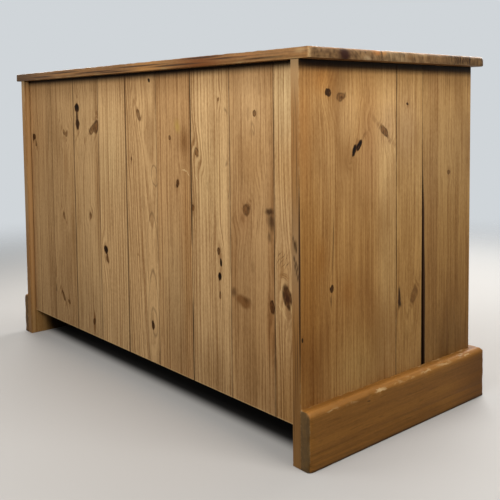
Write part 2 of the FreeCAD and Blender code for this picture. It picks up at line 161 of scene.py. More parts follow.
def pine(
    name, box, grain, pale, dark, pith, seed, knots=(), tints=(), marks=(), joints=(), ring=0.008, climb=0.0,
    wander=0.01, contrast=1.0, lines=0.50, stain=0.30, sawn=(0.75, 0.95, 0.42), rough=0.62, sheen=0.25,
    worn=0.35,
):
    """Pine with its growth rings as a solid: grain names the axes across, along and through the board.

    pith is where the heart of the tree lies, from the middle of the board across and through it. A knot
    is (place, half sizes, lean, blackness), below 0 where only its bark is dark. A tint is (place, half
    sizes, share of each colour kept), and fades out from its middle. A mark is (place, half sizes, lean,
    colour, strength, softness), below 0 where it is an outline and above 1 where it comes in specks. A
    joint is (place across, strength, half width). ring is the width of a year's growth, climb how fast
    the rings close in along the board, wander how far they stray and lines how dark their autumn part
    is. sawn says how far the end grain differs, and how light and dark it is beside the dark wood.
    """
    material = bpy.data.materials.new(name)
    material.use_nodes = True
    tree = material.node_tree
    tree.nodes.clear()
    coordinates = tree.nodes.new("ShaderNodeTexCoord")
    place = Field(coordinates.outputs["Object"])
    facing = Field(coordinates.outputs["Normal"]).parts()
    order = ["xyz".index(letter) for letter in grain]
    axes = place.parts()
    across, along, through = (axes[i] for i in order)
    low, high = ([corner[i] for i in order] for corner in box)
    middle = [(a + b) / 2 for a, b in zip(low, high)]
    half = [(b - a) / 2 for a, b in zip(low, high)]
    stick = place.node("CombineXYZ", {}, {0: across, 1: along, 2: through})

    # Knots push the rings aside, so they come first
    crumple = stick.cloud((60.0, 24.0, 60.0), seed, 4.0, "Color")
    centred = crumple.node("VectorMath", {"operation": "SUBTRACT"}, {0: crumple, 1: (0.5, 0.5, 0.5)})
    torn = stick.node(
        "VectorMath", {"operation": "MULTIPLY_ADD"}, {0: centred, 1: (0.013, 0.018, 0.009), 2: stick}
    )
    bent = across + wander * (stick.cloud((3.0, 1.3, 3.0), seed + 3.1, 1.0) - 0.5)
    swell = 0.0
    heart, rim, halo, soot = [], [], [], []
    for middle_of, half_of, lean, blackness in knots:
        spot = torn.spot(middle_of, half_of, lean)
        side, rise, _ = spot.parts()
        near = spot.reach()
        pull = (-0.16 * side * side - 0.035 * rise * rise).maths("EXPONENT")
        push = 0.8 * half_of[0]
        bent = bent - side * pull * push
        swell = swell + pull * push
        core = near.ramp(1.15, 0.75)
        heart.append(core * (0.25 if blackness < 0 else 0.60 + 0.35 * blackness))
        rim.append(core * near.ramp(0.45, 0.85) * (0.18 + 0.77 * abs(blackness)))
        halo.append((1.1 * side * side + 0.07 * rise * rise).ramp(1.0, 0.1))
        if blackness > 0.55:
            soot.append(near.ramp(1.0, 0.5) * (2.2 * blackness - 1.2))

    # Growth rings, each with a pale spring and a dark autumn part
    aside = bent - (middle[0] + pith[0])
    inward = through - (middle[2] + pith[1])
    shake = 0.0035 * (stick.cloud((38.0, 3.2, 38.0), seed + 5.3, 1.0) - 0.5)
    radius = (aside * aside + inward * inward).maths("SQRT") + climb * along + shake - swell
    uneven = radius.node(
        "TexNoise", {"noise_dimensions": "1D"}, {"W": radius * 40.0 + seed, "Scale": 1.0, "Detail": 0.0}
    )
    turns = radius / ring + 1.3 * uneven
    year = turns.maths("FRACT")
    count = turns.maths("FLOOR")
    vigour = count.node("TexWhiteNoise", {"noise_dimensions": "1D"}, {"W": count + seed})
    autumn = (year.ramp(0.25, 0.85) - year.ramp(0.90, 1.0)) * (0.40 + 0.8 * vigour)
    sheet = radius.node("CombineXYZ", {}, {0: radius, 1: along, 2: through})
    line = sheet.cloud((230.0, 2.6, 14.0), seed + 6.1, 1.0) - 0.5
    streak = sheet.cloud((62.0, 1.6, 8.0), seed + 7.7, 2.0) - 0.5
    broad = sheet.cloud((17.0, 1.5, 4.0), seed + 2.9, 1.0) - 0.5
    fibre = stick.cloud((430.0, 9.0, 430.0), seed + 1.3, 2.0) - 0.5
    pores = stick.cloud((320.0, 130.0, 320.0), seed + 15.1, 2.0) - 0.5
    figure = lines * autumn + line + 0.55 * streak + 0.7 * broad + 1.5 * fibre + 0.8 * pores
    wood = (contrast * figure + 0.25).blend(pale, dark)
    fleck = stick.cloud((260.0, 24.0, 260.0), seed + 12.3, 0.0).ramp(0.68, 0.76)
    wood = (0.25 * fleck).blend(wood, toned(dark, 0.6))

    # Sawn end grain drinks in more polish and dirt, and shows the rings
    drink, light, deep = sawn
    end_grain = facing[order[1]].maths("ABSOLUTE").ramp(0.6, 0.9)
    mottle = stick.cloud((75.0, 40.0, 75.0), seed + 11.7, 4.0).ramp(0.34, 0.68)
    soaked = (0.3 * autumn + 0.75 * mottle).blend(toned(dark, light, 0.80), toned(dark, deep, 0.86))
    wood = (drink * end_grain).blend(wood, soaked)

    # Age, knots, uneven colour, bare worn edges, marks, and dirt in the joints
    age = stick.cloud((11.0, 4.0, 11.0), seed + 9.9, 4.0).ramp(0.45, 0.75)
    wood = (stain * age).blend(wood, toned(dark, 0.78, 1.05))
    if knots:
        burr = stick.cloud((340.0, 110.0, 340.0), seed + 2.2, 3.0)
        flesh = burr.ramp(0.40, 0.62).blend(KNOT_BROWN, KNOT_DEEP)
        tail = 0.3 + 1.4 * (line + streak)
        crust = burr.ramp(0.28, 0.50)
        for masks, amount, colour in (
            (halo, tail, KNOT_HALO), (heart, 1.0, flesh), (rim, crust, KNOT_RIM), (soot, 1.0, KNOT_AND_SHADE_BLACK),
        ):
            if masks:
                most = masks[0]
                for mask in masks[1:]:
                    most = most.most(mask)
                wood = (most * amount).blend(wood, colour)
    for middle_of, half_of, share in tints:
        faded = wood.node("VectorMath", {"operation": "MULTIPLY"}, {0: wood, 1: share})
        wood = stick.spot(middle_of, half_of, 0.0).reach().ramp(1.0, 0.0).blend(wood, faded)
    speckle = stick.cloud((190.0, 60.0, 190.0), seed + 4.4, 2.0)
    sides = zip(half, (across, along, through), middle)
    inset = [size - (axis - mid).maths("ABSOLUTE") for size, axis, mid in sides]
    edge = inset[0].least(inset[1]).most(inset[0].most(inset[1]).least(inset[2]))
    bare = edge.ramp(0.003, 0.0006) * speckle.ramp(0.48, 0.64)
    wood = (worn * bare).blend(wood, BARE_WOOD)
    for middle_of, half_of, lean, colour, strength, soft in marks:
        ground = stick if max(half_of) > 0.07 else torn
        near = ground.spot(middle_of, half_of, lean).reach()
        inked = near.ramp(1.0, 1.0 - min(abs(soft), 1.0))
        if soft < 0:
            inked = inked - near.ramp(1.0 + soft, 1.0 + 2.0 * soft)
        if soft > 1:
            inked = inked * speckle.ramp(0.50, 0.60)
        wood = (strength * inked).blend(wood, colour)
    if joints:
        waver = stick.cloud((4.0, 9.0, 4.0), seed + 8.2, 2.0)
        for line_at, strength, width in joints:
            off = (across + 0.003 * (waver - 0.5) - line_at).maths("ABSOLUTE")
            packed = off.ramp(width, 0.3 * width) * waver.ramp(0.18, 0.46)
            wood = (strength * packed).blend(wood, JOINT_DIRT)

    height = 0.35 * fibre - 0.35 * autumn + 0.5 * streak
    bump = height.node("Bump", {}, {"Strength": 0.35, "Distance": 0.0008, "Height": height})
    gloss = rough + 0.16 * (speckle - 0.5) - 0.08 * autumn
    sockets = {"Base Color": wood, "Roughness": gloss, "Normal": bump, "Specular IOR Level": sheen}
    shader = place.node("BsdfPrincipled", {}, sockets)
    finish = tree.nodes.new("ShaderNodeOutputMaterial")
    tree.links.new(shader.socket, finish.inputs["Surface"])
    return material


def dress(piece, material):
    """Gives a piece one finish all over."""
    piece.data.materials.clear()
    piece.data.materials.append(material)


DOUBLE = 0.00001


def ease(piece, width):
    """Takes the sharp arris off a sawn board, as a plane and years of handling do."""
    weld = piece.modifiers.new("closed", "WELD")
    weld.merge_threshold = DOUBLE
    flat = piece.modifiers.new("faces", "DECIMATE")
    flat.decimate_type = "DISSOLVE"
    flat.angle_limit = math.radians(1.0)
    arris = piece.modifiers.new("arris", "BEVEL")
    arris.width = width
    arris.segments = 2
    arris.limit_method = "ANGLE"
    arris.angle_limit = math.radians(40.0)


END_PALE = shade(188, 145, 88)
END_DARK = shade(136, 92, 46)
END_ARRIS = 0.0012
END_REAR = 0.2765
REAR_SKIN = 0.274
REAR_GLUE = 0.009
FRONT_GLUE = -0.074
# Darker and warmer towards the foot of the ends.
LOWER_END_DARKER = ((0.0, 0.24), (2.0, 0.32), (0.88, 0.80, 0.70))
# Painted shade: the ends and back are darkened for a span below the top, under its overhang.
PAINTED_SHADE_UNDER_TOP = ((0.0, 0.722), (2.0, 0.08), (0.60, 0.56, 0.52))
UPPER_PALE = ((0.0, 0.58), (2.0, 0.22), (0.98, 1.00, 1.10))
# Painted shadow: a near-black band on the ends and back right under the top's overhang.
PAINTED_SHADOW_UNDER_TOP = ((0.0, 0.722), (2.0, 0.025), 0, shade(18, 12, 8), 0.95, 0.8)
REAR_EDGE = (
    ((END_REAR, 0.45), (0.004, 2.0), 0, shade(136, 100, 60), 0.45, 0.3),
    # Painted highlight: the top of the rear edge is painted paler, as if lit, over the painted shadow under
    # the top.
    ((END_REAR, 0.705), (0.004, 0.11), 0, shade(188, 156, 112), 0.90, 0.9),
    ((END_REAR, 0.56), (0.004, 0.08), 0, shade(134, 88, 44), 0.60, 1.0),
    ((END_REAR, 0.375), (0.007, 0.15), 0, shade(150, 124, 92), 0.72, 1.0),
    ((END_REAR, 0.05), (0.0055, 0.3), 0, shade(98, 66, 35), 0.80, 0.9),
)
EDGE_RINGS = [
    ((REAR_SKIN, z - 0.009 * step, x - 0.004 * step), (0.02, 0.01, 0.0034), 0, SPLIT, 0.75, 0.9)
    for z, x in ((0.4, -0.547), (0.367, -0.549), (0.352, -0.55)) for step in (-1, 0, 1)
]
# A dark patch on the upper part of the near end's rear edge.
EDGE_DARK_PATCH = ((REAR_SKIN, 0.398, -0.549), (0.02, 0.015, 0.007), 0, shade(84, 62, 30), 0.75, 0.9)
EDGE_GRAIN = [
    ((REAR_SKIN, z, x), (0.02, rise, 0.0018), 0, SPLIT, strength, 0.9)
    for z, x, rise, strength in (
        (0.52, -0.5525, 0.12, 0.60), (0.6, -0.545, 0.1, 0.35), (0.45, -0.542, 0.11, 0.40),
        (0.2, -0.5515, 0.11, 0.60), (0.17, -0.5465, 0.13, 0.50), (0.09, -0.542, 0.08, 0.50),
        (0.26, -0.543, 0.06, 0.45), (0.65, -0.55, 0.06, 0.35),
    )
]
END_BOARDS = {
    "left_end_rear_board": {
        "pith": (-0.42, 0.10),
        "knots": [
            ((0.2016, 0.6613), (0.0088, 0.0064), 0, 0.85),
            ((0.167, 0.6568), (0.0135, 0.0084), 0, 0.10),
            ((0.1313, 0.5579), (0.0048, 0.012), 26, 1.0),
            ((0.1173, 0.5666), (0.0058, 0.0125), 40, 1.0),
            ((0.0447, 0.5889), (0.0084, 0.0168), -49, 0.40),
            ((0.1928, 0.3116), (0.0056, 0.0075), 0, 0.80),
        ],
        "tints": [
            ((0.26, 0.28), (0.07, 0.52), (0.84, 0.74, 0.58)),
            ((0.215, 0.69), (0.05, 0.05), (1.05, 0.92, 0.74)),
            ((0.03, 0.39), (0.07, 0.6), (1.28, 1.44, 1.70)),
            ((0.155, 0.63), (0.05, 0.09), (1.10, 1.16, 1.28)),
            ((0.12, 0.15), (0.11, 0.13), (1.10, 1.22, 1.30)),
            ((0.035, 0.3), (0.05, 0.24), (1.10, 1.18, 1.28)),
            ((0.09, 0.57), (0.048, 0.17), (0.82, 0.76, 0.76)),
            ((0.262, 0.6), (0.03, 0.2), (0.96, 0.87, 0.78)),
            ((0.15, 0.3), (0.03, 0.05), (0.90, 0.82, 0.72)),
            ((0.22, 0.37), (0.025, 0.06), (0.92, 0.84, 0.72)),
            ((0.035, 0.605), (0.04, 0.07), (0.89, 0.88, 0.94)),
        ],
        "marks": [
            ((0.189, 0.385), (0.0016, 0.074), 2, SPLIT, 0.7, 0.6),
            ((0.1645, 0.6555), (0.0105, 0.0055), 12, KNOT_DEEP, 0.85, 1.0),
            ((0.199, 0.6615), (0.0018, 0.0014), 0, KNOT_BROWN, 0.80, 0.9),
            ((0.119, 0.564), (0.0011, 0.006), 40, KNOT_BROWN, 0.70, 0.8),
            ((0.194, 0.29), (0.003, 0.024), 0, SPLIT, 0.5, 0.9),
            ((0.268, 0.2297), (0.0036, 0.0046), 0, KNOT_AND_SHADE_BLACK, 0.9, 0.4),
            *REAR_EDGE, EDGE_DARK_PATCH, *EDGE_RINGS, *EDGE_GRAIN,
            ((REAR_SKIN, 0.34, -0.558), (0.003, 0.24, 0.003), 0, SPLIT, 0.95, 0.5),
        ],
        "joints": [(REAR_GLUE, 0.75, 0.0024)],
    },
    "left_end_middle_board": {
        "pith": (0.22, -0.08),
        "tone": 1.12,
        "warm": 0.94,
        "knots": [
            ((-0.0235, 0.6413), (0.0034, 0.003), 0, 0.8),
            ((-0.048, 0.256), (0.011, 0.016), 24, -0.02),
        ],
        "tints": [
            ((-0.03, 0.21), (0.04, 0.06), (1.10, 1.14, 1.18)),
            ((-0.02, 0.6), (0.06, 0.11), (1.08, 1.14, 1.32)),
        ],
        "marks": [
            ((0.0, 0.26), (0.0054, 0.03), 0, SPLIT, 0.95, 0.6),
            ((-0.002, 0.248), (0.0054, 0.012), -24, SPLIT, 0.80, 0.7),
            # Painted shade: the opened front joint, dark down its length.
            ((-0.074, 0.2), (0.0022, 0.36), 0, OPEN_JOINT_SHADE, 0.95, 0.5),
        ],
        "joints": [(REAR_GLUE, 0.75, 0.0024), (FRONT_GLUE, 0.6, 0.0016)],
    },
    "left_end_front_board": {
        "pith": (0.30, 0.12),
        "tone": 0.94,
        "warm": 0.96,
        "knots": [((-0.1647, 0.5009), (0.006, 0.005), 0, 0.1)],
        "marks": [
            # Painted shade: the opened front joint is painted dark, wider at its middle.
            ((-0.0785, 0.26), (0.006, 0.33), -1.02, OPEN_JOINT_SHADE, 0.97, 0.35),
            ((-0.0765, 0.4), (0.0075, 0.09), 0, SPLIT, 0.90, 0.7),
            ((-0.08, 0.28), (0.007, 0.15), -1.02, SPLIT, 0.85, 0.6),
        ],
        "tints": [
            ((-0.105, 0.42), (0.04, 0.3), (0.84, 0.80, 0.80)),
            ((-0.16, 0.12), (0.14, 0.13), (0.70, 0.67, 0.62)),
            ((-0.115, 0.675), (0.04, 0.05), (1.14, 1.17, 1.26)),
        ],
        "joints": [(FRONT_GLUE, 0.6, 0.0016)],
    },
    "right_end_rear_board": {
        "pith": (0.05, 0.09),
        "knots": [((0.11, 0.3), (0.01, 0.012), 10, 0.4), ((0.2, 0.56), (0.008, 0.009), 0, 0.6)],
        "marks": [
            *REAR_EDGE,
            # Painted light: the inner face of the far end beside the back is painted paler, as if lit.
            ((0.266, 0.4, 0.538), (0.01, 0.6, 0.003), 0, shade(204, 160, 108), 0.80, 0.8),
            # Painted shade: the foot of the far end's inner face is painted black, where little light
            # reaches.
            ((0.175, 0.02, 0.538), (0.075, 0.07, 0.004), 0, KNOT_AND_SHADE_BLACK, 0.95, 0.6),
        ],
        "joints": [(REAR_GLUE, 0.6, 0.0024)],
    },
    "right_end_middle_board": {
        "pith": (-0.25, 0.10),
        "joints": [(REAR_GLUE, 0.6, 0.0024), (FRONT_GLUE, 0.6, 0.002)],
    },
    "right_end_front_board": {
        "pith": (0.02, 0.08),
        "knots": [((-0.16, 0.41), (0.009, 0.012), -12, 0.5)],
        "joints": [(FRONT_GLUE, 0.6, 0.002)],
    },
}
for seed, (name, cut) in enumerate(END_BOARDS.items(), start=11):
    tone = (cut.get("tone", 1.0), cut.get("warm", 1.0))
    finish = pine(
        name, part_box(name), "yzx", toned(END_PALE, *tone), toned(END_DARK, *tone), cut["pith"], seed,
        knots=cut.get("knots", ()), tints=[LOWER_END_DARKER, UPPER_PALE, PAINTED_SHADE_UNDER_TOP, *cut.get("tints", ())],
        marks=[PAINTED_SHADOW_UNDER_TOP, *cut.get("marks", ())], joints=cut["joints"], contrast=0.85, lines=0.28, stain=0.55,
        rough=0.55, sheen=0.08,
    )
    dress(NODES[name], finish)
    ease(NODES[name], END_ARRIS)

# Rails and divider. Pine rails are housed in the ends at the front and back, and the short divider
# between the top drawers is tenoned into the rails above and below it. They are waxed like the ends.
RAIL_PALE = shade(186, 138, 84)
RAIL_DARK = shade(140, 94, 50)
RAIL_PITH = (0.1, 0.2)
RAIL_ARRIS = 0.0008
FRONT_RAILS = ("front_top_rail", "upper_drawer_rail", "lower_drawer_rail", "front_bottom_rail")
BACK_RAILS = ("back_top_rail", "back_middle_rail", "back_bottom_rail")
for seed, name in enumerate((*FRONT_RAILS, *BACK_RAILS), start=31):
    dress(NODES[name], pine(name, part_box(name), "yxz", RAIL_PALE, RAIL_DARK, RAIL_PITH, seed, rough=0.6))
    ease(NODES[name], RAIL_ARRIS)
name = "short_drawer_divider"
dress(NODES[name], pine(name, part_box(name), "yzx", RAIL_PALE, RAIL_DARK, RAIL_PITH, 39.0))
ease(NODES[name], RAIL_ARRIS)

# Runners, kickers, guide and stops. Strips of bare pine that the drawers slide on, under and against,
# nailed to the ends and let into the rails. They stay pale because no polish or light reaches them.
BARE_PALE = shade(206, 170, 120)
BARE_DARK = shade(166, 122, 74)
BARE_ARRIS = 0.0006
STRIPS = (
    "upper_side_runners", "lower_side_runners", "centre_runner", "centre_guide", "top_kickers",
    "drawer_stops",
)
for seed, name in enumerate(STRIPS, start=41):
    finish = pine(name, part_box(name), "xyz", BARE_PALE, BARE_DARK, (0.15, 0.2), seed, rough=0.75)
    dress(NODES[name], finish)
    ease(NODES[name], BARE_ARRIS)

# Plinth. A deep pine board with a rounded top edge goes round the front and both ends, mitred at the front
# corners and glued on, with blocks behind it. It has been waxed and knocked the most, so its round is worn
# uneven, and the round is painted paler: partly wear, partly a painted highlight from light above.
UP, DOWN = Vector((0.0, 0.0, 1.0)), Vector((0.0, 0.0, -1.0))
LEFT, RIGHT = Vector((-1.0, 0.0, 0.0)), Vector((1.0, 0.0, 0.0))
FRONT, REAR = Vector((0.0, -1.0, 0.0)), Vector((0.0, 1.0, 0.0))


def sawn_board(low, high):
    """A plain board that fills a box."""
    board = bmesh.new()
    bmesh.ops.create_cube(board, size=1.0)
    bmesh.ops.scale(board, vec=high - low, verts=board.verts)
    bmesh.ops.translate(board, vec=(low + high) / 2, verts=board.verts)
    return board


def saw(board, place, away, waste):
    """Cuts a board through a place, and where there is waste, drops the side that away points to."""
    whole = [*board.verts, *board.edges, *board.faces]
    cut = bmesh.ops.bisect_plane(board, geom=whole, plane_co=place, plane_no=away, clear_outer=waste)
    if waste:
        rim = [part for part in cut["geom_cut"] if isinstance(part, bmesh.types.BMEdge)]
        bmesh.ops.edgeloop_fill(board, edges=rim)
        bmesh.ops.recalc_face_normals(board, faces=board.faces)


SAME_WAY = 0.99


def round_over(board, radius, steps, face, kept):
    """Rounds the edges of the face that looks one way, but not those it shares with the kept faces."""
    board.normal_update()
    edges = []
    for edge in board.edges:
        ways = [side.normal for side in edge.link_faces]
        lies = any(way.dot(face) > SAME_WAY for way in ways)
        if lies and not any(way.dot(other) > SAME_WAY for way in ways for other in kept):
            edges.append(edge)
    bmesh.ops.bevel(
        board, geom=edges, offset=radius, offset_type="OFFSET", segments=steps, profile=0.5, affect="EDGES",
        material=-1,
    )


def piece_of(name, shape):
    """Makes a worked shape a piece of the scene."""
    mesh = bpy.data.meshes.new(name)
    shape.to_mesh(mesh)
    shape.free()
    piece = bpy.data.objects.new(name, mesh)
    bpy.context.scene.collection.objects.link(piece)
    return piece


ARRIS_REACH = 0.005
FOOT_CLEAR = 0.004
RUB_GRAIN = 60.0
RUB_EVEN = 0.3
CREASE = math.radians(32.0)


def rubbed(name, board, pitch, depth, dents=()):
    """The finished piece for a node: its arrises are rubbed uneven, and a dent is (place, reach, depth)."""
    low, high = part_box(name)
    for axis, way in enumerate((RIGHT, REAR, UP)):
        count = int((high[axis] - low[axis]) / pitch)
        for number in range(1, count):
            saw(board, low + way * (high[axis] - low[axis]) * number / count, way, False)
    bmesh.ops.remove_doubles(board, verts=board.verts, dist=DOUBLE)
    bmesh.ops.recalc_face_normals(board, faces=board.faces)
    board.normal_update()
    for vert in board.verts:
        inset = sorted(min(vert.co[i] - low[i], high[i] - vert.co[i]) for i in range(3))
        arris = inset[1] < ARRIS_REACH and vert.co.z > low.z + FOOT_CLEAR
        rub = depth * max(0.0, RUB_EVEN + noise.noise(vert.co * RUB_GRAIN)) if arris else 0.0
        for place, reach, deep in dents:
            gap = (vert.co - Vector(place)).length / reach
            rub = max(rub, deep * (1.0 - gap * gap))
        vert.co -= vert.normal * rub
    for face in board.faces:
        face.smooth = True
    for edge in board.edges:
        edge.smooth = edge.calc_face_angle(0.0) < CREASE
    piece = piece_of(f"worn_{name}", board)
    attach(piece, "carcase")
    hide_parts(name)
    return piece


PLINTH_PALE = shade(156, 106, 48)
PLINTH_DARK = shade(110, 71, 28)
PLINTH_TOP = 0.108
PLINTH_ROUND = 0.012
PLINTH_ARRIS = 0.0016
PLINTH_END = 0.0035
PLINTH_PITCH = 0.007
PLINTH_RUB = 0.0016
PLINTH_FOOT = ((0.0, 0.0), (0.007, 2.0), 0, shade(44, 28, 15), 0.8, 0.8)
# The plinth's round is paler: partly wear, partly a painted highlight where light from above falls on it.
ROUND_WORN_AND_LIT = shade(196, 136, 68)
ROUND_REACH = (0.013, 2.0, 0.016)
MITRE_TIP = 0.0016
LEFT_MITRE = (RIGHT + FRONT).normalized()
RIGHT_MITRE = (LEFT + FRONT).normalized()
PLINTH = {
    "plinth_left": {
        "grain": "zyx",
        "pith": (0.02, -0.12),
        "face": -0.581,
        "hidden": RIGHT,
        "ends": [FRONT, REAR],
        "mitres": [(LEFT, LEFT_MITRE)],
        "dents": [
            ((-0.578, 0.088, 0.1045), 0.012, 0.0028),
            ((-0.58, 0.111, 0.097), 0.01, 0.0022),
            ((-0.578, -0.062, 0.105), 0.013, 0.0028),
            ((-0.577, 0.1985, 0.105), 0.01, 0.002),
            ((-0.575, -0.195, 0.1075), 0.013, 0.0024),
            ((-0.579, 0.02, 0.103), 0.01, 0.0018),
            ((-0.58, 0.272, 0.06), 0.012, 0.002),
            ((-0.58, 0.272, 0.008), 0.01, 0.003),
        ],
        "tints": [
            ((0.05, -0.27), (0.2, 0.16), (0.60, 0.53, 0.36)),
            ((0.104, 0.18), (0.018, 0.22), (0.70, 0.66, 0.60)),
        ],
        "marks": [
            ((0.05, 0.275), (0.2, 0.0035), 0, shade(104, 86, 60), 0.45, 0.5),
            ((0.088, 0.1195), (0.002, 0.006), 0, KNOT_AND_SHADE_BLACK, 0.80, 0.7),
            *(
                ((z, y), (0.006, length), 0, BARE_WOOD, strength, 1.1)
                for z, y, length, strength in (
                    (0.1, 0.215, 0.03, 0.50), (0.099, 0.165, 0.03, 0.25), (0.099, 0.078, 0.028, 0.85),
                    (0.101, 0.025, 0.03, 0.40), (0.103, -0.062, 0.024, 0.95), (0.103, -0.015, 0.03, 0.35),
                    (0.104, -0.125, 0.04, 0.55), (0.105, -0.2, 0.045, 0.65),
                )
            ),
        ],
    },
    "plinth_right": {
        "grain": "zyx",
        "pith": (-0.03, 0.12),
        "face": 0.581,
        "hidden": LEFT,
        "ends": [FRONT, REAR],
        "mitres": [(RIGHT, RIGHT_MITRE)],
        "dents": [((0.578, 0.05, 0.1045), 0.012, 0.0024), ((0.577, -0.15, 0.1055), 0.014, 0.0022)],
        "marks": [
            ((0.101, 0.05), (0.006, 0.04), 0, BARE_WOOD, 0.80, 1.1),
            ((0.102, -0.16), (0.006, 0.05), 0, BARE_WOOD, 0.60, 1.1),
        ],
    },
    "plinth_front": {
        "grain": "zxy",
        "pith": (0.02, -0.12),
        "face": -0.267,
        "hidden": REAR,
        "ends": [LEFT, RIGHT],
        "mitres": [(LEFT, -LEFT_MITRE), (RIGHT, -RIGHT_MITRE)],
        "dents": [((-0.26, -0.264, 0.1045), 0.013, 0.0026), ((0.37, -0.265, 0.103), 0.011, 0.0022)],
        "marks": [
            ((0.101, -0.26), (0.006, 0.06), 0, BARE_WOOD, 0.80, 1.1),
            ((0.102, 0.37), (0.006, 0.07), 0, BARE_WOOD, 0.70, 1.1),
            ((0.045, 0.11), (0.002, 0.01), 20, KNOT_AND_SHADE_BLACK, 0.70, 0.7),
        ],
    },
}
for seed, (name, cut) in enumerate(PLINTH.items(), start=51):
    low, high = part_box(name)
    board = sawn_board(low, high)
    kept = [cut["hidden"], *cut["ends"]]
    round_over(board, PLINTH_ROUND, 6, UP, kept)
    round_over(board, PLINTH_ARRIS, 2, DOWN, kept)
    for side, away in cut["mitres"]:
        corner = Vector((low.x if side == LEFT else high.x, low.y, 0.0))
        tip = (side + FRONT).normalized()
        saw(board, corner, away, True)
        saw(board, corner - MITRE_TIP * tip, tip, True)
    if REAR in cut["ends"]:
        round_over(board, PLINTH_END, 3, REAR, [cut["hidden"], DOWN])
    piece = rubbed(name, board, PLINTH_PITCH, PLINTH_RUB, cut["dents"])
    worn_lit_round = ((PLINTH_TOP, 0.0, cut["face"]), ROUND_REACH, 0, ROUND_WORN_AND_LIT, 0.45, 0.8)
    finish = pine(
        name, (low, high), cut["grain"], PLINTH_PALE, PLINTH_DARK, cut["pith"], seed,
        tints=cut.get("tints", ()), marks=[PLINTH_FOOT, worn_lit_round, *cut["marks"]], contrast=0.62, stain=0.55,
        sawn=(0.95, 1.25, 0.42), rough=0.5, sheen=0.10,
    )
    dress(piece, finish)
name = "plinth_glue_blocks"
dress(NODES[name], pine(name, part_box(name), "xzy", BARE_PALE, BARE_DARK, (0.4, 0.2), 54.0, rough=0.8))
ease(NODES[name], RAIL_ARRIS)

